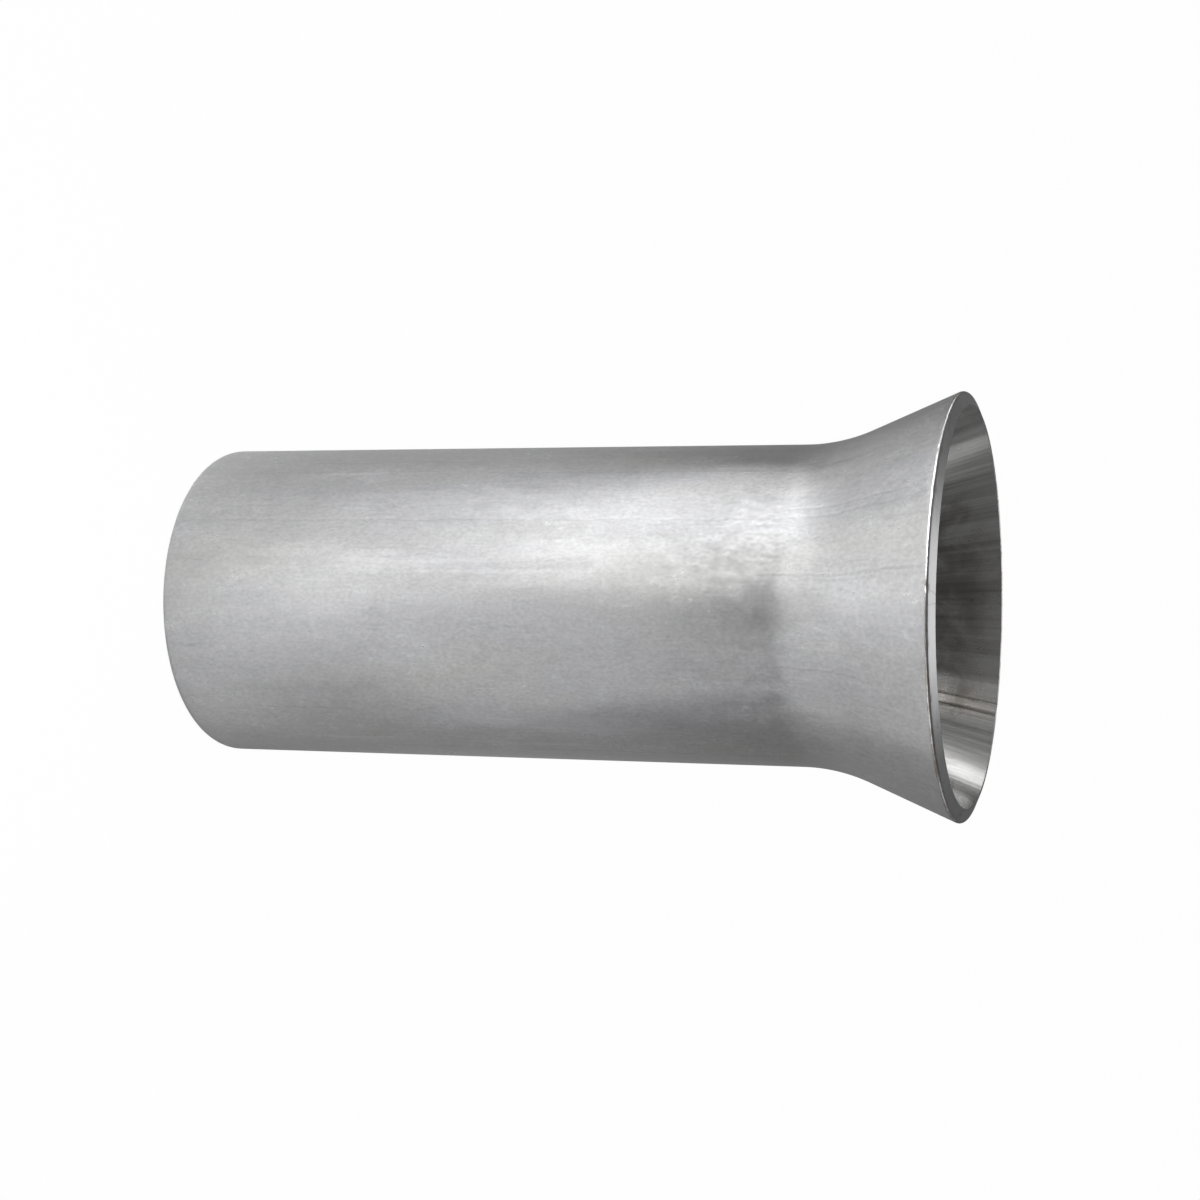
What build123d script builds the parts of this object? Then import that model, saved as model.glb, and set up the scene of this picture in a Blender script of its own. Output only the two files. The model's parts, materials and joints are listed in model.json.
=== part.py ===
from build123d import *

import math
import os

# Flared spool pipe: a short, plain stainless tube whose one end is opened out into a cone.
#
# Millimetres, +Z up. The pipe stands on its plain tail end: the tube's axis is +Z, the tail's
# end face lies on z = 0 and the flared mouth looks up. The origin is the middle of that face.

# --- The tube -------------------------------------------------------------------------------
tube_outside_diameter = 60.3
wall = 3.0
length = 150.0  # from the tail's end face to the outer edge of the lip

# --- The flare ------------------------------------------------------------------------------
mouth_outside_diameter = 79.3  # over the lip's outer edge, before that edge is rounded
flare_angle = 22.75  # slope of the cone's wall away from the axis, in degrees
bend_radius = 34.0  # hollow of the bend, where the tube's outside turns into the cone

# --- The edges ------------------------------------------------------------------------------
lip_rounding = 0.5  # radius on the lip's outer edge
lip_break = 0.15  # small flat that takes the burr off the lip's inner edge
tail_nose = 4.0  # how far up the tube the rounded-over tail edge reaches
tail_land = 0.6  # flat left round the bore at the tail's end

# --- What follows from the sizes above ------------------------------------------------------
slope = math.radians(flare_angle)
tube_radius = tube_outside_diameter / 2
bore_radius = tube_radius - wall
mouth_radius = mouth_outside_diameter / 2

# The cone's outer line runs down from the lip and would meet the tube's outside in a sharp
# corner. The bend starts as far below that corner as its tangent needs.
corner_height = length - (mouth_radius - tube_radius) / math.tan(slope)
bend_start = corner_height - bend_radius * math.tan(slope / 2)

# The wall keeps its thickness round the bend, so the inner arc has the same centre and is
# larger by one wall. The lip is cut square to the cone's wall, not square to the axis.
inner_bend_radius = bend_radius + wall
lip_outer = (mouth_radius, length)
lip_inner = (mouth_radius - wall * math.cos(slope), length + wall * math.sin(slope))


with BuildPart() as spool_pipe:
    with BuildSketch(Plane.XZ) as wall_section:
        with BuildLine():
            # Outside: the tail's land and rounded nose, the straight tube, the bend, the cone
            land = Line((bore_radius, 0), (bore_radius + tail_land, 0))
            outside = Line((tube_radius, tail_nose), (tube_radius, bend_start))
            TangentArc(outside @ 0, land @ 1, tangent=-(outside % 0))
            outer_bend = JernArc(outside @ 1, outside % 1, bend_radius, -flare_angle)
            Line(outer_bend @ 1, lip_outer)
            # The lip's face, then the inside: the bore, the bend, the cone
            Line(lip_outer, lip_inner)
            bore = Line(land @ 0, (bore_radius, bend_start))
            inner_bend = JernArc(bore @ 1, bore % 1, inner_bend_radius, -flare_angle)
            Line(inner_bend @ 1, lip_inner)
        make_face()
        fillet(wall_section.vertices().sort_by(Axis.X)[-1], lip_rounding)
        chamfer(wall_section.vertices().sort_by(Axis.Y)[-1], lip_break)
    revolve(axis=Axis.Z)

spool_pipe.part.label = "spool_pipe"

os.makedirs("parts", exist_ok=True)
export_step(spool_pipe.part, "parts/spool_pipe.step")
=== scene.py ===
# %% [markdown]
# # A flared stainless spool pipe
#
# One piece of pickled stainless pipe: a straight tube with a rounded tail edge, and one end opened
# out into a cone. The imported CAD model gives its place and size. This lesson spins a finer skin
# for it, adds the weld inside and the nicks on the lip, dresses each surface in its own finish,
# and sets the pipe on a pale floor under soft lamps.

# %% Load the frame
import json
import math
import bpy
from mathutils import Matrix, Quaternion, Vector


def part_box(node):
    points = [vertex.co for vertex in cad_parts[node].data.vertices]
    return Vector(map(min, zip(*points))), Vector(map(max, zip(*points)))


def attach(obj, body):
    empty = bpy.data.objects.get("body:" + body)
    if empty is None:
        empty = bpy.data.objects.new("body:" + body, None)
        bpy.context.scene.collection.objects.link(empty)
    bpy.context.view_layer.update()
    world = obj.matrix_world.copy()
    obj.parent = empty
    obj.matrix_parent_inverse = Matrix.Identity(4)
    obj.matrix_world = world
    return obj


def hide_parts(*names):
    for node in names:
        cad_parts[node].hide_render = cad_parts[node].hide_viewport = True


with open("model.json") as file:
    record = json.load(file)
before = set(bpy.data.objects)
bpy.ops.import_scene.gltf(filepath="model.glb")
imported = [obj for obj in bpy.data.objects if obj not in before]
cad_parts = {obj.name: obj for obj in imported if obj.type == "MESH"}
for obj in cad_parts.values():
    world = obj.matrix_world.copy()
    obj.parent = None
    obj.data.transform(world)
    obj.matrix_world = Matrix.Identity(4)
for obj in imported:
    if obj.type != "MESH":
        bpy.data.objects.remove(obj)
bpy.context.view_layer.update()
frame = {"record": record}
record = frame["record"]

# %% [markdown]
# ## Sizes
#
# The tube's radius, its bore and the height where the bend starts are stated by the record's
# mounts, and the overall height by the CAD box. The slope of the cone, the radius of the bend and
# the rounded edges are written here again, because the frame doesn't hold them. The break on the
# lip's inner edge is a tenth of a millimetre wider than the solid's, so that it catches light.

# %% Sizes
MM = 0.001
mounts = {mount["name"]: mount["dims"] for mount in record["mounts"]}
tube_radius = mounts["tail_spigot"]["r_mm"] * MM
bore_radius = mounts["tube_bore"]["r_mm"] * MM
bend_start = mounts["tube_bore"]["length_mm"] * MM
wall = tube_radius - bore_radius

slope = math.radians(22.75)
bend_radius = 34.0 * MM
lip_rounding = 0.5 * MM
lip_break = 0.25 * MM
tail_nose = 4.0 * MM
tail_land = 0.6 * MM

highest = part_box("spool_pipe")[1]
lip_height = highest[2]
inner_bend_radius = bend_radius + wall
print("tube radius", tube_radius, "wall", wall, "bend starts at", bend_start, "lip at", lip_height)


# %% [markdown]
# ## The outline of the wall
#
# The real pipe is drawn round and then opened over a cone, so every cut through its axis looks
# the same. A lathe would do the same job: one closed outline of the wall, in radius and height,
# turned round the axis. Two small helpers give the points of its arcs and of its straight runs,
# and the straight runs get stations too, so that the skin can carry a weld and small nicks.

# %% Helpers for the outline
def arc(centre, radius, start, end, steps):
    """Points on an arc in the radius-height plane, from one angle to another."""
    angles = [start + (end - start) * k / steps for k in range(steps + 1)]
    return [(centre[0] + radius * math.cos(a), centre[1] + radius * math.sin(a)) for a in angles]


def stretch(start, end, steps):
    """Points strictly between the two ends of a straight run."""
    return [tuple(a + (b - a) * k / steps for a, b in zip(start, end)) for k in range(1, steps)]


def moved(point, *steps):
    """A point moved by each (distance, direction) pair."""
    return tuple(p + sum(far * way[k] for far, way in steps) for k, p in enumerate(point))


# %% The outline
cone_up = (math.sin(slope), math.cos(slope))  # along the cone's wall, towards the lip
cone_in = (-math.cos(slope), math.sin(slope))  # through the cone's wall, from outside to inside

bend_centre = (tube_radius + bend_radius, bend_start)
outer_bend = arc(bend_centre, bend_radius, math.pi, math.pi - slope, 18)
inner_bend = arc(bend_centre, inner_bend_radius, math.pi, math.pi - slope, 18)

# The small break on the lip's inner edge ends a little below the corner that it takes off.
corner_height = lip_height + lip_break * math.sin(slope)
cone_length = (corner_height - inner_bend[-1][1]) / math.cos(slope)
inner_corner = moved(inner_bend[-1], (cone_length, cone_up))
outer_corner = moved(inner_corner, (-wall, cone_in))
lip_inside = moved(inner_corner, (-lip_break, cone_up))
lip_face_end = moved(inner_corner, (-lip_break, cone_in))
rounding_centre = moved(outer_corner, (-lip_rounding, cone_up), (lip_rounding, cone_in))
lip_edge = arc(rounding_centre, lip_rounding, -slope, math.pi / 2 - slope, 6)

nose_depth = wall - tail_land
nose_radius = (tail_nose**2 + nose_depth**2) / (2 * nose_depth)
nose_turn = math.asin(tail_nose / nose_radius)
tail_edge = arc((tube_radius - nose_radius, tail_nose), nose_radius, -nose_turn, 0.0, 8)
bore_end = (bore_radius, 0.0)

outside = tail_edge + stretch(tail_edge[-1], outer_bend[0], 46) + outer_bend
outside += stretch(outer_bend[-1], lip_edge[0], 12) + lip_edge
face = stretch(lip_edge[-1], lip_face_end, 4) + [lip_face_end]
inside = [lip_inside] + stretch(lip_inside, inner_bend[-1], 12) + inner_bend[::-1]
inside += stretch(inner_bend[0], bore_end, 24) + [bore_end]
outline = outside + face + inside
print("outline of", len(outline), "points, lip radius", outer_corner[0])

# %% [markdown]
# ## Spinning the skin
#
# The outline is drawn in edit mode: a plane is merged to one point, and that point is
# extruded from station to station. Spinning the line a full turn about the axis closes the skin,
# and merging the doubles sews it up where the turn began. A screw modifier would give the same
# shape, but the spin leaves a plain mesh that the next steps can select and push.

# %% Spin
TURNS = 512


def draw_outline(points):
    """A new mesh object whose edit mesh is one closed line through the outline's points."""
    bpy.ops.object.select_all(action="DESELECT")
    bpy.ops.mesh.primitive_plane_add(size=MM)
    bpy.ops.object.mode_set(mode="EDIT")
    bpy.ops.mesh.select_all(action="SELECT")
    bpy.ops.mesh.merge(type="CENTER")
    bpy.ops.transform.translate(value=(points[0][0], 0.0, points[0][1]))
    for (r0, z0), (r1, z1) in zip(points, points[1:] + points[:1]):
        step = {"value": (r1 - r0, 0.0, z1 - z0)}
        bpy.ops.mesh.extrude_region_move(TRANSFORM_OT_translate=step)
    return bpy.context.object


pipe = draw_outline(outline)
pipe.name = "pipe_skin"
bpy.ops.mesh.select_all(action="SELECT")
bpy.ops.mesh.spin(steps=TURNS, angle=2 * math.pi, center=(0, 0, 0), axis=(0, 0, 1))
bpy.ops.mesh.select_all(action="SELECT")
bpy.ops.mesh.remove_doubles(threshold=0.01 * MM)
bpy.ops.mesh.normals_make_consistent(inside=False)
bpy.ops.object.mode_set(mode="OBJECT")
bpy.ops.object.shade_smooth_by_angle(angle=math.radians(30))
print("skin", len(pipe.data.vertices), "vertices", len(pipe.data.polygons), "faces")


# %% [markdown]
# ## Turns round the pipe
#
# Marks on a round part are easiest to place by three numbers, as on a dividing head: the turn
# round the axis in degrees, the height in millimetres and the distance from the axis. Here the
# turn is 0 on the side that faces -Y, and grows towards -X. A helper gives the three numbers for
# a point of the mesh, and the materials later work out the same numbers with nodes.

# %% Turn, height and distance of a point
def polar(point):
    """Turn in degrees, height and distance from the axis in millimetres."""
    turn = math.degrees(math.atan2(-point.x, -point.y))
    return turn, point.z / MM, math.hypot(point.x, point.y) / MM


def outward(turn):
    """The unit vector that points away from the axis at a turn."""
    angle = math.radians(turn)
    return Vector((-math.sin(angle), -math.cos(angle), 0.0))


def turn_gap(turn, other):
    """The smaller angle between two turns, in degrees."""
    return abs((turn - other + 180.0) % 360.0 - 180.0)


print("a point on -X is at turn", polar(Vector((-tube_radius, 0.0, 0.0)))[0])

# %% [markdown]
# ## The weld inside
#
# The pipe is rolled from strip and welded along its length, and the bead inside is planed nearly
# flush before the end is flared. What is left is a narrow flat band, a little proud of the bore,
# with a sharp step down at each side. The skin's own points are pushed towards the axis where
# they lie on the band, with more push in the middle than at the sides.

# %% Raise the seam
SEAM_TURN = -147.0
SEAM_HALF_WIDTH = 1.25  # mm
SEAM_RISE = 0.22  # mm
SEAM_START = 1.0  # mm above the tail's land
SEAM_SIDE_SHARE = 0.75  # of the rise, at the sides of the band
INNER_SHARE = 0.4  # of the wall; what is nearer to the bore than this belongs to the bore


def bore_at(height):
    """The radius of the bore at a height, with the bend and the cone."""
    over_bend = max(0.0, height - bend_start)
    run = min(over_bend, inner_bend_radius * math.sin(slope))
    opened = inner_bend_radius - math.sqrt(inner_bend_radius**2 - run**2)
    opened += max(0.0, over_bend - run) * math.tan(slope)
    return bore_radius + opened


def seam_crown(across):
    """The share of the rise at a distance across the band, from its middle."""
    middle = math.cos(0.5 * math.pi * across / SEAM_HALF_WIDTH)
    return SEAM_SIDE_SHARE + (1.0 - SEAM_SIDE_SHARE) * middle


seam_points = 0
for vertex in pipe.data.vertices:
    turn, height, distance = polar(vertex.co)
    across = turn_gap(turn, SEAM_TURN) * math.pi / 180.0 * distance
    limit = (bore_at(vertex.co.z) + INNER_SHARE * wall) / MM
    if across > SEAM_HALF_WIDTH or distance > limit or height < SEAM_START:
        continue
    vertex.co -= outward(turn) * SEAM_RISE * seam_crown(across) * MM
    seam_points += 1
print("seam raised over", seam_points, "points")

# %% [markdown]
# ## Nicks on the lip
#
# The thin outer edge of a flare takes the knocks of storage, and each leaves a small flat or
# notch in its rounding. By hand, one would pick a point of the edge and pull it in with
# proportional editing, which drags its neighbours along, less the further they are. The helper
# does the same sum.

# %% Knock the edge in
# turn, reach and depth in mm
NICKS = [
    (5.0, 1.0, 0.15),
    (-9.0, 0.8, 0.12),
    (-23.6, 0.8, 0.13),
    (-75.0, 1.4, 0.21),
    (31.0, 0.8, 0.09),
    (44.0, 0.9, 0.12),
    (58.0, 0.8, 0.11),
    (112.0, 1.2, 0.15),
    (-131.0, 1.1, 0.18),
    (176.0, 0.9, 0.13),
]


def knock_in(turn, reach, depth):
    """Pull the lip's rounding at a turn inward and down, less and less out to the reach."""
    radius, height = lip_edge[len(lip_edge) // 2]
    middle = outward(turn) * radius + Vector((0.0, 0.0, height))
    push = outward(turn) * -math.cos(slope) + Vector((0.0, 0.0, -math.sin(slope)))
    for vertex in pipe.data.vertices:
        share = 1.0 - (vertex.co - middle).length / (reach * MM)
        if share > 0.0:
            vertex.co += push * depth * MM * share * share * (3.0 - 2.0 * share)


for nick in NICKS:
    knock_in(*nick)
print("knocked", len(NICKS), "nicks into the lip")

# %% [markdown]
# ## Node helpers
#
# A finish is a small calculation at every point of the surface: where is the point, how much
# grain, streak or scratch is there, and what does that do to colour, gloss and height. These
# helpers add one node each and hand back its output, so that a finish can be written as sums.

# %% Node helpers
def plug(tree, value, socket):
    """Link an output to a socket, or set the socket to a plain value."""
    if isinstance(value, bpy.types.NodeSocket):
        tree.links.new(value, socket)
    else:
        socket.default_value = value


def calc(tree, operation, *values):
    """One Math node; the values are outputs or numbers."""
    node = tree.nodes.new("ShaderNodeMath")
    node.operation = operation
    for value, socket in zip(values, node.inputs):
        plug(tree, value, socket)
    return node.outputs[0]


def vector_calc(tree, operation, *values):
    """One Vector Math node; the values are outputs or triples."""
    node = tree.nodes.new("ShaderNodeVectorMath")
    node.operation = operation
    for value, socket in zip(values, node.inputs):
        plug(tree, value, socket)
    return node.outputs[0]


def total(tree, *values):
    """The sum of several values."""
    result = values[0]
    for value in values[1:]:
        result = calc(tree, "ADD", result, value)
    return result


def weighted(tree, base, *pairs):
    """A base value plus each value times its share."""
    return total(tree, base, *[calc(tree, "MULTIPLY", value, share) for value, share in pairs])


def ramp(tree, value, start, end, low=0.0, high=1.0):
    """A smooth rise from low to high while the value goes from start to end."""
    node = tree.nodes.new("ShaderNodeMapRange")
    node.interpolation_type = "SMOOTHSTEP"
    for number, socket in zip((value, start, end, low, high), node.inputs):
        plug(tree, number, socket)
    return node.outputs["Result"]


def noise(tree, place, size, detail=2.0, roughness=0.5, swirl=0.0):
    """Noise about zero, from -1 to 1, with features of about one size in millimetres."""
    node = tree.nodes.new("ShaderNodeTexNoise")
    tree.links.new(place, node.inputs["Vector"])
    node.inputs["Scale"].default_value = 1.0 / size
    node.inputs["Detail"].default_value = detail
    node.inputs["Roughness"].default_value = roughness
    node.inputs["Distortion"].default_value = swirl
    return calc(tree, "MULTIPLY_ADD", node.outputs[0], 2.0, -1.0)


def new_finish(name):
    """A metal material with its tree and its shader."""
    material = bpy.data.materials.new(name)
    material.use_nodes = True
    tree = material.node_tree
    shader = tree.nodes["Principled BSDF"]
    shader.inputs["Metallic"].default_value = 1.0
    return material, tree, shader


def blended(tree, share, first, second):
    """A colour that goes from the first to the second as the share goes from 0 to 1."""
    blend = tree.nodes.new("ShaderNodeMix")
    blend.data_type = "RGBA"
    plug(tree, share, blend.inputs["Factor"])
    blend.inputs["A"].default_value = (*first, 1.0)
    blend.inputs["B"].default_value = (*second, 1.0)
    return blend.outputs["Result"]


def toned(tree, colour, tone):
    """A colour made lighter or darker by a tone, which is 1 where it stays as it is."""
    scaled = tree.nodes.new("ShaderNodeVectorMath")
    scaled.operation = "SCALE"
    plug(tree, colour, scaled.inputs[0])
    plug(tree, tone, scaled.inputs["Scale"])
    return scaled.outputs[0]


def emboss(tree, shader, relief):
    """Raise and sink the surface by a relief in millimetres."""
    bump = tree.nodes.new("ShaderNodeBump")
    bump.inputs["Distance"].default_value = MM
    plug(tree, relief, bump.inputs["Height"])
    tree.links.new(bump.outputs[0], shader.inputs["Normal"])


# %% [markdown]
# ## Where a point lies on the wall
#
# Drawing leaves its marks along the tube, and flaring carries them on up the cone. So the finishes
# use a place of their own: the point is slid to a cylinder of one radius, which keeps its turn,
# and its height is squeezed, which draws every pattern out along the pipe. A slant turns the
# pattern a little with height, for marks that run aslant.

# %% Places on the wall
PATTERN_RADIUS = 30.0  # mm


def wall_place(tree):
    """Outputs for turn in degrees, height and distance in mm, and the direction outward."""
    coordinates = tree.nodes.new("ShaderNodeTexCoord")
    split = tree.nodes.new("ShaderNodeSeparateXYZ")
    tree.links.new(coordinates.outputs["Object"], split.inputs[0])
    x, y, z = split.outputs
    back_x = calc(tree, "MULTIPLY", x, -1.0)
    back_y = calc(tree, "MULTIPLY", y, -1.0)
    turn = calc(tree, "DEGREES", calc(tree, "ARCTAN2", back_x, back_y))
    height = calc(tree, "DIVIDE", z, MM)
    flat = vector_calc(tree, "MULTIPLY", coordinates.outputs["Object"], (1.0, 1.0, 0.0))
    length = tree.nodes.new("ShaderNodeVectorMath")
    length.operation = "LENGTH"
    tree.links.new(flat, length.inputs[0])
    distance = calc(tree, "DIVIDE", length.outputs["Value"], MM)
    out = vector_calc(tree, "NORMALIZE", flat)
    return {"turn": turn, "height": height, "distance": distance, "out": out}


def drawn(tree, place, squeeze, slant=0.0):
    """A pattern vector in mm: round the pipe at one radius, with the height squeezed."""
    height = calc(tree, "MULTIPLY", place["height"], squeeze)
    lift = tree.nodes.new("ShaderNodeCombineXYZ")
    tree.links.new(height, lift.inputs[2])
    ring = vector_calc(tree, "MULTIPLY", place["out"], (PATTERN_RADIUS, PATTERN_RADIUS, 0.0))
    if slant:
        spin = tree.nodes.new("ShaderNodeVectorRotate")
        spin.rotation_type = "Z_AXIS"
        tree.links.new(ring, spin.inputs["Vector"])
        angle = calc(tree, "MULTIPLY", place["height"], slant / PATTERN_RADIUS)
        tree.links.new(angle, spin.inputs["Angle"])
        ring = spin.outputs[0]
    return vector_calc(tree, "ADD", ring, lift.outputs[0])


# %% [markdown]
# ## Single marks
#
# Some marks are too plain to be left to chance: the long draw lines, a few bright rubs, and dark
# dashes. Each is a band about one turn, between two heights, with soft ends. A slow noise makes
# it wander, as a scratch does. A dark line is a groove, so it darkens the colour and lowers the
# surface, while a rub brightens and smooths it.

# %% One mark
def mark(tree, place, wander, turn, low, high, width, fade=4.0):
    """1 on a band of some width in mm about a turn and between two heights, and 0 elsewhere."""
    gap = calc(tree, "SUBTRACT", place["turn"], turn)
    across = calc(tree, "MULTIPLY", gap, math.radians(PATTERN_RADIUS))
    across = calc(tree, "ABSOLUTE", calc(tree, "ADD", across, wander))
    body = ramp(tree, across, 0.35 * width, width, 1.0, 0.0)
    rise = ramp(tree, place["height"], low - fade, low + fade)
    fall = ramp(tree, place["height"], high - fade, high + fade, 1.0, 0.0)
    return calc(tree, "MULTIPLY", body, calc(tree, "MULTIPLY", rise, fall))


def all_marks(tree, place, wander, rows):
    """The sum of many marks, each with its own strength."""
    marks = [
        calc(tree, "MULTIPLY", mark(tree, place, wander, *row[:-1]), row[-1])
        for row in rows
    ]
    return total(tree, *marks)


def hairlines(tree, place_vector, size, width, detail=2.0):
    """Thin wandering lines: where a noise crosses zero."""
    level = calc(tree, "ABSOLUTE", noise(tree, place_vector, size, detail, 0.6))
    return ramp(tree, level, 0.3 * width, width, 1.0, 0.0)


# %% [markdown]
# ## The pickled outside
#
# Acid takes the scale off a welded pipe and leaves it pale, satin and a little uneven. Close up
# there is a fine grain; further back, streaks along the tube, clouds of slightly warmer and
# cooler grey, hairlines where the skin has stretched, and the draw lines. Colour and roughness
# together carry the clouds and the rubs. Bump adds the gentle ripple that makes the edges of a
# reflection waver, and a trace of every line.

# %% The pickled outside
WARM_STEEL = (0.607, 0.607, 0.602)
COOL_STEEL = (0.596, 0.597, 0.614)
SMOOTHEST = 0.18

# turn, low, high, width in mm, strength
DARK_LINES = [
    (30.2, 2.0, 150.0, 0.28, 0.5),
    (33.4, 122.0, 149.0, 0.26, 0.7),
    (53.5, 72.0, 146.0, 0.30, 0.5),
    (54.5, 104.0, 147.0, 0.25, 0.6),
    (9.8, 117.0, 149.0, 0.35, 0.8),
    (8.2, 128.0, 143.0, 0.30, 0.6),
    (-21.5, 118.0, 141.0, 0.35, 0.7),
    (-42.0, 12.0, 40.0, 0.35, 0.5),
    (62.0, 20.0, 58.0, 0.30, 0.5),
    (36.5, 8.0, 60.0, 0.25, 0.5),
    (-66.0, 40.0, 120.0, 0.40, 0.5),
    (152.0, 10.0, 150.0, 0.30, 0.8),
    (-128.0, 30.0, 149.0, 0.30, 0.7),
    (-163.0, 5.0, 90.0, 0.30, 0.6),
]
PALE_LINES = [
    (31.2, 2.0, 150.0, 0.30, 0.35),
    (34.3, 122.0, 149.0, 0.30, 0.6),
    (54.0, 28.0, 52.0, 0.45, 1.0),
    (-60.0, 28.0, 44.0, 0.50, 0.9),
    (-61.0, 58.0, 86.0, 0.45, 0.8),
    (11.0, 40.0, 84.0, 0.50, 0.8),
    (15.0, 36.0, 70.0, 0.60, 0.8),
    (-25.0, 112.0, 126.0, 0.40, 0.6),
    (152.8, 10.0, 150.0, 0.30, 0.6),
    (-127.0, 30.0, 149.0, 0.35, 0.6),
]
# turn, low, high, width in mm, fade in mm, strength
RUBS = [
    (40.0, 36.0, 60.0, 2.6, 9.0, 0.8),
    (33.0, 52.0, 84.0, 2.2, 8.0, 0.7),
    (14.0, 38.0, 62.0, 2.4, 8.0, 0.8),
    (8.0, 66.0, 88.0, 2.0, 8.0, 0.6),
    (19.0, 16.0, 34.0, 2.4, 8.0, 0.5),
    (18.0, 70.0, 94.0, 2.6, 10.0, 0.7),
    (40.0, 58.0, 80.0, 1.8, 9.0, 0.6),
    (7.0, 104.0, 120.0, 2.2, 8.0, 0.5),
    (52.0, 28.0, 46.0, 1.8, 7.0, 0.6),
    (-48.0, 62.0, 92.0, 3.0, 10.0, 0.4),
    (175.0, 50.0, 90.0, 3.0, 10.0, 0.6),
    (-100.0, 20.0, 60.0, 3.0, 10.0, 0.6),
]

outside_finish, tree, shader = new_finish("pickled_outside")
place = wall_place(tree)
even = drawn(tree, place, 1.0)
along = drawn(tree, place, 0.11)
slow = drawn(tree, place, 0.25)
aslant = drawn(tree, place, 0.16, slant=0.35)

grain = noise(tree, drawn(tree, place, 0.6), 0.50, 2.0, 0.6)
streaks = noise(tree, along, 0.9, 3.0, 0.6)
fine_streaks = noise(tree, drawn(tree, place, 0.07), 0.35, 2.0, 0.6)
scuffs = noise(tree, aslant, 0.5, 2.0, 0.6)
clouds = noise(tree, slow, 7.0, 3.0, 0.55, swirl=0.4)
blotches = noise(tree, even, 3.2, 3.0, 0.6, swirl=0.2)
mottle = noise(tree, drawn(tree, place, 0.45), 1.3, 3.0, 0.65)
ripple = noise(tree, slow, 9.0, 1.0, 0.4)
where_scuffed = ramp(tree, noise(tree, even, 14.0, 2.0), -0.1, 0.35)
patchy_scuffs = calc(tree, "MULTIPLY", scuffs, where_scuffed)

wander = calc(tree, "MULTIPLY", noise(tree, drawn(tree, place, 1.0), 9.0, 3.0, 0.6), 0.9)
dark_lines = all_marks(tree, place, wander, DARK_LINES)
pale_lines = all_marks(tree, place, wander, PALE_LINES)
ragged = calc(tree, "MULTIPLY", noise(tree, drawn(tree, place, 0.3), 2.5, 4.0, 0.65), 4.5)
rubs = total(tree, *[
    calc(tree, "MULTIPLY", mark(tree, place, ragged, turn, low, high, width, fade), strength)
    for turn, low, high, width, fade, strength in RUBS
])

stretched = ramp(tree, noise(tree, even, 11.0, 2.0), -0.05, 0.25)
crazing = calc(tree, "MULTIPLY", hairlines(tree, drawn(tree, place, 0.3), 5.5, 0.016), stretched)
cross_cracks = hairlines(tree, drawn(tree, place, 1.4), 6.0, 0.012)
near_flare = ramp(tree, place["height"], 95.0, 125.0)
cross_cracks = calc(tree, "MULTIPLY", calc(tree, "MULTIPLY", cross_cracks, stretched), near_flare)
cracks = calc(tree, "ADD", crazing, cross_cracks)

tone = weighted(
    tree,
    1.0,
    (grain, 0.230),
    (mottle, 0.075),
    (streaks, 0.070),
    (fine_streaks, 0.060),
    (patchy_scuffs, 0.080),
    (clouds, 0.140),
    (blotches, 0.100),
    (pale_lines, 0.09),
    (rubs, 0.16),
    (dark_lines, -0.13),
    (cracks, -0.07),
)
warmth = ramp(tree, noise(tree, slow, 12.0, 2.0, 0.5), -0.4, 0.4)
tint = blended(tree, warmth, WARM_STEEL, COOL_STEEL)
tree.links.new(toned(tree, tint, tone), shader.inputs["Base Color"])

gloss = weighted(
    tree,
    0.245,
    (clouds, 0.05),
    (streaks, 0.03),
    (mottle, 0.05),
    (blotches, 0.05),
    (rubs, -0.05),
    (pale_lines, -0.05),
)
plug(tree, calc(tree, "MAXIMUM", gloss, SMOOTHEST), shader.inputs["Roughness"])

relief = weighted(
    tree,
    0.0,
    (ripple, 0.026),
    (blotches, 0.0008),
    (mottle, 0.0015),
    (streaks, 0.0035),
    (grain, 0.0014),
    (dark_lines, -0.007),
    (pale_lines, 0.004),
    (cracks, -0.0008),
)
emboss(tree, shader, relief)
print("outside finish with", len(tree.nodes), "nodes")

# %% [markdown]
# ## The drawn bore
#
# Inside, the metal slid over a mandrel and then over the flaring cone, so its lines all run
# towards the lip, with broad pale and dark bands between them. Acid and grease stay longest in
# there, which leaves brown stains, and heat has tinted the metal beside the weld. The weld itself
# is a form of the skin; the finish paints a highlight along its flat top and shade along the foot
# of each step.

# %% The drawn bore
CLEAN_BORE = (0.630, 0.628, 0.620)
BROWN_STAIN = (0.470, 0.430, 0.385)

bore_finish, tree, shader = new_finish("drawn_bore")
place = wall_place(tree)
lines = noise(tree, drawn(tree, place, 0.012), 0.45, 3.0, 0.6)
bands = noise(tree, drawn(tree, place, 0.03), 3.2, 3.0, 0.6, swirl=0.4)
cross = noise(tree, drawn(tree, place, 2.4), 1.6, 3.0, 0.6)
grain = noise(tree, drawn(tree, place, 0.8), 0.3, 3.0, 0.6)
soil = noise(tree, drawn(tree, place, 0.7), 6.0, 4.0, 0.65, swirl=0.5)
specks = ramp(tree, noise(tree, drawn(tree, place, 1.0), 0.8, 2.0), 0.36, 0.5)
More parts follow.
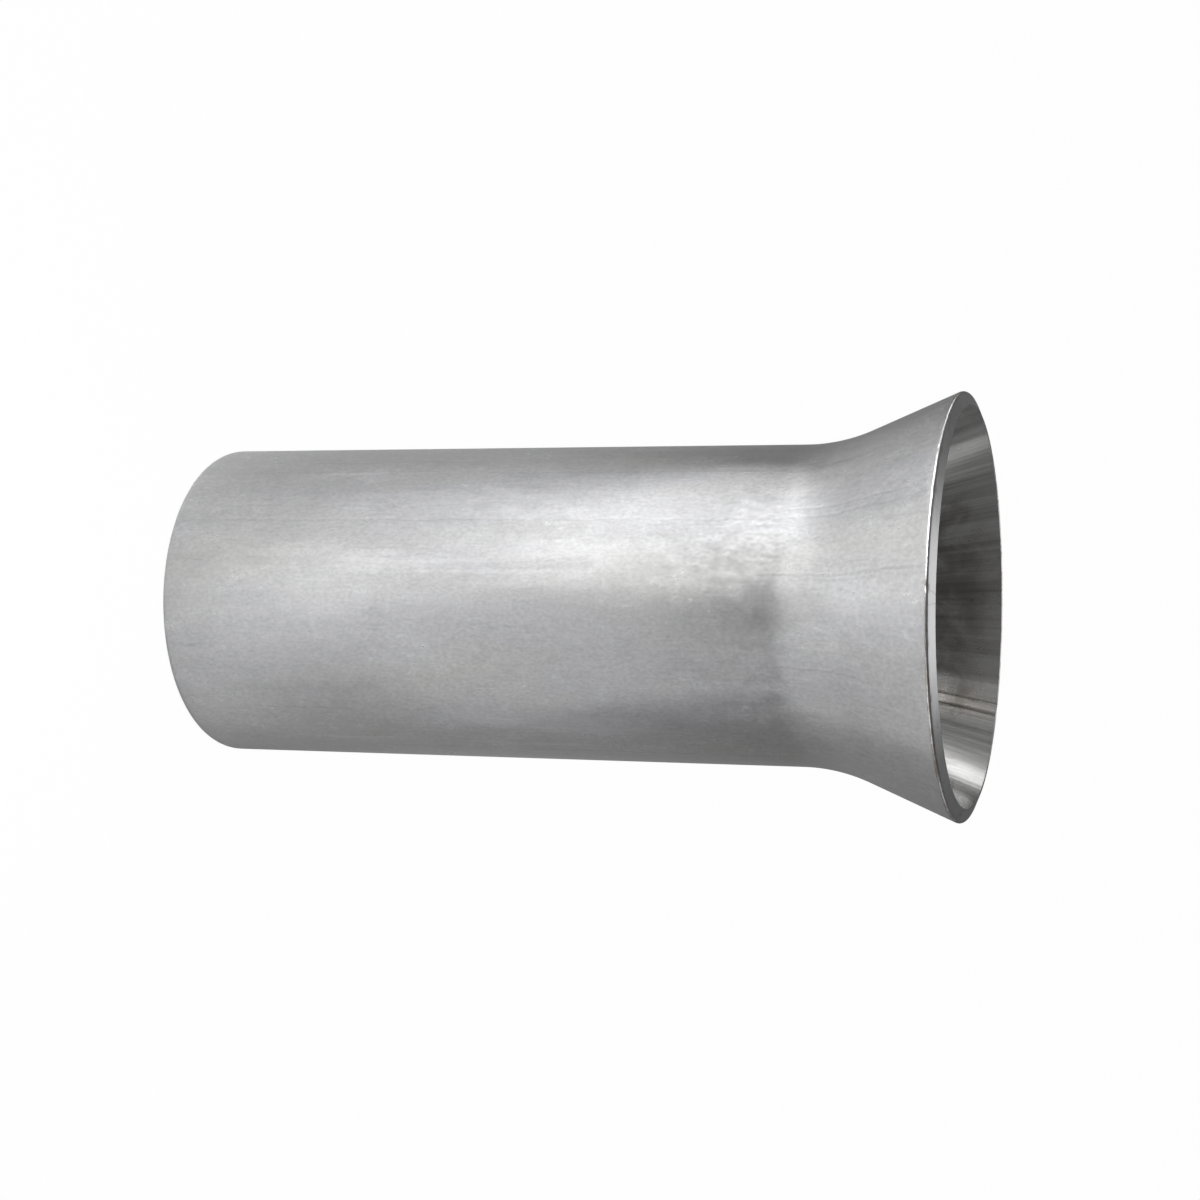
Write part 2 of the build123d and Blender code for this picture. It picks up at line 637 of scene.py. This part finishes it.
# The bore is darker and browner at turns beyond about 128 degrees, and lighter and less brown in its last
# few millimetres below the lip.
far_wall = ramp(tree, calc(tree, "ABSOLUTE", place["turn"]), 128.0, 172.0)
toward_lip = ramp(tree, calc(tree, "ADD", place["height"], calc(tree, "MULTIPLY", soil, 3.0)), 144.0, 151.0)
held = calc(tree, "SUBTRACT", calc(tree, "MULTIPLY", far_wall, 0.60), calc(tree, "MULTIPLY", toward_lip, 0.35))
grime = ramp(tree, calc(tree, "ADD", soil, held), -0.05, 0.80)
beside_seam = calc(tree, "ABSOLUTE", calc(tree, "SUBTRACT", place["turn"], SEAM_TURN))
beside_seam = calc(tree, "MULTIPLY", beside_seam, math.radians(PATTERN_RADIUS))
uneven = calc(tree, "MULTIPLY", bands, 0.25)
# The foot of each step of the weld gets painted shade, and its flat top a painted highlight.
seam_gap = calc(tree, "ABSOLUTE", calc(tree, "SUBTRACT", beside_seam, SEAM_HALF_WIDTH - 0.15))
shaded_seam_foot = ramp(tree, calc(tree, "ADD", seam_gap, uneven), 0.05, 0.40, 1.0, 0.0)
heat_tint = ramp(tree, calc(tree, "ADD", beside_seam, uneven), 1.0, 4.0, 1.0, 0.0)
seam_top_highlight = ramp(tree, beside_seam, SEAM_HALF_WIDTH - 0.5, SEAM_HALF_WIDTH - 0.2, 1.0, 0.0)

tone = weighted(
    tree,
    1.06,
    (lines, 0.28),
    (bands, 0.52),
    (cross, 0.06),
    (grain, 0.05),
    (grime, -0.42),
    (specks, -0.18),
    (toward_lip, 0.10),
    # Painted highlight on the weld's top, and painted shade at the foot of its steps.
    (seam_top_highlight, 0.22),
    (shaded_seam_foot, -0.28),
    (heat_tint, -0.08),
)
brown = calc(tree, "ADD", calc(tree, "MULTIPLY", grime, 0.6), calc(tree, "MULTIPLY", heat_tint, 0.5))
stain = blended(tree, calc(tree, "MINIMUM", brown, 1.0), CLEAN_BORE, BROWN_STAIN)
tree.links.new(toned(tree, stain, tone), shader.inputs["Base Color"])

gloss = weighted(
    tree,
    0.23,
    (bands, 0.06),
    (lines, 0.04),
    (grime, 0.12),
)
plug(tree, gloss, shader.inputs["Roughness"])
relief = weighted(
    tree,
    0.0,
    (bands, 0.022),
    (lines, 0.006),
    (grain, 0.002),
    (shaded_seam_foot, -0.03),
)
emboss(tree, shader, relief)
print("bore finish with", len(tree.nodes), "nodes")

# %% [markdown]
# ## The faced lip
#
# After flaring, the lip is faced on a lathe, so its flat ring carries fine rings round the axis
# and a cooler, darker grey than the pickled wall. The same cut is on the tail's narrow land. The
# rings come from a noise that only reads the distance from the axis; a slower noise lets them
# come and go, and a few scratches cross them.

# %% The faced lip
FACED_STEEL = (0.650, 0.653, 0.660)

lip_finish, tree, shader = new_finish("faced_lip")
place = wall_place(tree)
reach = tree.nodes.new("ShaderNodeCombineXYZ")
tree.links.new(place["distance"], reach.inputs[0])
plug(tree, calc(tree, "MULTIPLY", place["turn"], 0.01), reach.inputs[1])
rings = noise(tree, reach.outputs[0], 0.16, 2.0, 0.6)
fading = noise(tree, drawn(tree, place, 1.0), 5.0, 3.0, 0.6)
grain = noise(tree, drawn(tree, place, 1.0), 0.25, 2.0, 0.6)
scratches = hairlines(tree, drawn(tree, place, 1.0), 7.0, 0.010)
tone = weighted(
    tree,
    1.0,
    (rings, 0.12),
    (fading, 0.12),
    (grain, 0.05),
    (scratches, -0.30),
)
tree.links.new(toned(tree, FACED_STEEL, tone), shader.inputs["Base Color"])
plug(tree, calc(tree, "MULTIPLY_ADD", fading, 0.05, 0.34), shader.inputs["Roughness"])
relief = weighted(tree, 0.0, (rings, 0.006), (scratches, -0.01))
emboss(tree, shader, relief)
print("lip finish with", len(tree.nodes), "nodes")

# %% [markdown]
# ## The worn edges
#
# Edges are where a loose pipe touches benches and other pipes, so they are rubbed brighter and
# smoother than the faces beside them, and dirt lies in a thin brown line where the rubbing stops.
# The rounding of the lip and the small break inside it get this finish.

# %% The worn edges
RUBBED_STEEL = (0.66, 0.66, 0.66)
BROWN_DIRT = (0.44, 0.40, 0.37)

edge_finish, tree, shader = new_finish("worn_edge")
place = wall_place(tree)
knocks = noise(tree, drawn(tree, place, 1.0), 0.9, 3.0, 0.65)
fading = noise(tree, drawn(tree, place, 1.0), 8.0, 2.0, 0.5)
dirt = ramp(tree, calc(tree, "ADD", knocks, fading), -0.2, 0.5)
tree.links.new(blended(tree, dirt, RUBBED_STEEL, BROWN_DIRT), shader.inputs["Base Color"])
plug(tree, calc(tree, "MULTIPLY_ADD", knocks, 0.08, 0.30), shader.inputs["Roughness"])
emboss(tree, shader, calc(tree, "MULTIPLY", knocks, 0.03))
print("edge finish with", len(tree.nodes), "nodes")

# %% [markdown]
# ## Each finish on its own faces
#
# One skin can carry four finishes, because every face knows which material slot it uses. Faces
# are sorted by where they point and where they lie: the lip and its edges near the top, then all
# that points towards the axis, and the outside is the rest.

# %% Give the faces their finish
finishes = {"outside": outside_finish, "bore": bore_finish, "lip": lip_finish, "edge": edge_finish}
slots = {name: index for index, name in enumerate(finishes)}
for finish in finishes.values():
    pipe.data.materials.append(finish)


def finish_of(face):
    """The name of the finish that a face of the skin gets."""
    out = face.normal.dot(outward(polar(face.center)[0]))
    if face.normal.z < -0.99:
        return "lip"
    if face.center.z > lip_edge[0][1] and out > -0.6:
        return "lip" if abs(out - math.sin(slope)) < 0.02 else "edge"
    return "bore" if out < 0 else "outside"


counts = dict.fromkeys(finishes, 0)
for polygon in pipe.data.polygons:
    name = finish_of(polygon)
    polygon.material_index = slots[name]
    counts[name] += 1
print("faces with each finish", counts)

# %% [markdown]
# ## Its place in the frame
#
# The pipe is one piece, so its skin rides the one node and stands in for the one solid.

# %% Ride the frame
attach(pipe, "root")
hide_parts("spool_pipe")
print("the pipe rides the root")

# %% [markdown]
# ## The floor
#
# The pipe stands on a plain pale sheet of paper, on its tail end, as it would wait on a bench.
# The paper is matte, so it takes a soft shadow. For what looks straight at it a share of plain
# glow makes it white, and metal mirrors a little of that glow, less than the eye sees: bare
# steel that mirrored all of it would lose the dark side that makes it read as a tube.

# %% Floor
FLOOR_SIZE = 80.0  # metres, so that its far edge lies at the horizon
FLOOR_GREY = 0.8
CAMERA_SHARE = 0.985
METAL_SHARE = 0.06

bpy.ops.object.select_all(action="DESELECT")
bpy.ops.mesh.primitive_plane_add(size=FLOOR_SIZE, location=(0, 0, 0))
floor = bpy.context.object
floor.name = "floor"
floor_paint = bpy.data.materials.new("pale_floor")
floor_paint.use_nodes = True
nodes = floor_paint.node_tree.nodes
links = floor_paint.node_tree.links
nodes.clear()
output = nodes.new("ShaderNodeOutputMaterial")
matte = nodes.new("ShaderNodeBsdfDiffuse")
matte.inputs["Color"].default_value = (FLOOR_GREY, FLOOR_GREY, FLOOR_GREY, 1)
glow = nodes.new("ShaderNodeEmission")
mix = nodes.new("ShaderNodeMixShader")
path = nodes.new("ShaderNodeLightPath")
share = nodes.new("ShaderNodeMath")
share.operation = "MULTIPLY"
share.inputs[1].default_value = CAMERA_SHARE
mirrored = nodes.new("ShaderNodeMath")
mirrored.operation = "ADD"
# What the camera sees gets one share of the glow, and what a mirror sees gets the other.
metal_share = nodes.new("ShaderNodeMath")
metal_share.operation = "MULTIPLY_ADD"
metal_share.inputs[1].default_value = METAL_SHARE
links.new(path.outputs["Is Camera Ray"], share.inputs[0])
links.new(path.outputs["Is Glossy Ray"], mirrored.inputs[0])
links.new(path.outputs["Is Transmission Ray"], mirrored.inputs[1])
links.new(mirrored.outputs[0], metal_share.inputs[0])
links.new(share.outputs[0], metal_share.inputs[2])
links.new(metal_share.outputs[0], mix.inputs[0])
links.new(matte.outputs[0], mix.inputs[1])
links.new(glow.outputs[0], mix.inputs[2])
links.new(mix.outputs[0], output.inputs[0])
floor.data.materials.append(floor_paint)
print("floor laid")

# %% [markdown]
# ## The lamps
#
# Bare metal shows its lamps more than itself, so the studio is a ring of softboxes placed by
# what each part of the wall mirrors. A tube mirrors a lamp as a band along its length, and a
# lamp's upper and lower edges decide where that band begins and ends. The upright key gives the
# broad bright band, and the panels lying on the floor carry it on to the foot of the flare,
# where the wall looks down at the floor. The weaker lamps at the sides and back keep every
# other side readable, and the high ones reach into the bore.

# %% Lamps
def softbox(name, place, aim, size, power, spread=180.0):
    """A rectangular lamp that faces its aim and that the camera doesn't see."""
    lamp = bpy.data.lights.new(name, "AREA")
    lamp.shape = "RECTANGLE"
    lamp.size, lamp.size_y = size
    lamp.energy = power
    lamp.spread = math.radians(spread)
    holder = bpy.data.objects.new(name, lamp)
    bpy.context.collection.objects.link(holder)
    holder.location = place
    holder.rotation_mode = "QUATERNION"
    holder.rotation_quaternion = (Vector(aim) - Vector(place)).to_track_quat("-Z", "Y")
    holder.visible_camera = False
    return holder


def strip_lamp(name, turn, distance, slide, low, high, power):
    """An upright softbox on a plane that faces the axis: slide is its reach along that plane."""
    middle = outward(turn) * distance
    along = Vector((outward(turn).y, -outward(turn).x, 0.0))
    place = middle + along * (slide[0] + slide[1]) / 2 + Vector((0, 0, (low + high) / 2))
    size = (slide[1] - slide[0], high - low)
    return softbox(name, place, place - outward(turn), size, power)


def light_table(name, turn, near, far, slide, power):
    """A softbox that lies on the floor and faces up, from a near to a far distance."""
    out = outward(turn)
    along = Vector((out.y, -out.x, 0.0))
    place = out * (near + far) / 2 + along * (slide[0] + slide[1]) / 2
    place.z = 2 * MM
    size = (slide[1] - slide[0], far - near)
    table = softbox(name, place, place + Vector((0, 0, 1)), size, power)
    turned = Matrix((-along, out, Vector((0, 0, -1)))).transposed()
    table.rotation_quaternion = turned.to_quaternion()
    return table


# name, turn, distance, reach along its plane, lower edge, upper edge, watts
STRIPS = [
    ("key", 50, 0.38, (-0.27, 0.19), 0.085, 0.195, 1.60),
    ("high_key", 66, 0.38, (-0.08, 0.08), 0.25, 0.36, 0.06),
    ("fill", -50, 0.40, (-0.20, 0.20), 0.08, 0.22, 0.26),
    ("side", 112, 0.36, (-0.20, 0.15), 0.17, 0.26, 0.19),
    ("far_side", -108, 0.36, (-0.12, 0.12), 0.17, 0.26, 0.05),
]
# name, turn, near edge, far edge, reach to each side, watts
TABLES = [
    ("far_table", 66, 0.28, 0.60, (-0.20, 0.34), 0.34),
    ("near_table", 24, 0.08, 0.34, (-0.06, 0.08), 0.021),
    ("fill_table", -45, 0.12, 0.50, (-0.14, 0.20), 0.069),
]
WORLD_STRENGTH = 0.115

for strip in STRIPS:
    strip_lamp(*strip)
for table in TABLES:
    light_table(*table)

# A small narrow lamp lights the floor in front of the pipe, which the foot of the wall mirrors.
WASH_PLACE = Vector((0, -0.09, 0.10))
WASH_AIM = Vector((0, -0.09, 0))
softbox("floor_wash", WASH_PLACE, WASH_AIM, (0.06, 0.06), 0.020, spread=100)

# The back lamp shines down on the lip from behind, at 60 degrees above the floor.
BACK_AIM = Vector((0, 0, 0.1))
BACK_DISTANCE = 0.9
BACK_SIZE = (0.4, 0.4)
back_place = BACK_AIM + BACK_DISTANCE * (outward(180) * 0.5 + Vector((0, 0, 0.866)))
softbox("back", back_place, BACK_AIM, BACK_SIZE, 0.62)

world = bpy.data.worlds.new("studio")
world.use_nodes = True
world.node_tree.nodes["Background"].inputs[0].default_value = (1, 1, 1, 1)
world.node_tree.nodes["Background"].inputs[1].default_value = WORLD_STRENGTH
bpy.context.scene.world = world
print("lamps set:", len(STRIPS), "strips,", len(TABLES), "tables, a wash and a back lamp")

# %% [markdown]
# ## The camera
#
# The camera looks a little down at the standing pipe and is rolled by about a right angle, which
# shows it as if it lay on its side with the flare to the right.

# %% Camera
FOCAL_LENGTH = 70.1  # mm
ROLL = 90.55  # degrees

lens = bpy.data.cameras.new("camera")
lens.lens = FOCAL_LENGTH
camera = bpy.data.objects.new("camera", lens)
bpy.context.collection.objects.link(camera)
camera_place = Vector((0.0, -0.4278, 0.2215))
looks_at = Vector((-0.0007, 0.0, 0.0793))
roll = Quaternion((0, 0, 1), math.radians(ROLL))
camera.location = camera_place
camera.rotation_mode = "QUATERNION"
camera.rotation_quaternion = (looks_at - camera_place).to_track_quat("-Z", "Y") @ roll
bpy.context.scene.camera = camera
bpy.context.scene.view_settings.view_transform = "Standard"
print("camera at", tuple(camera_place))
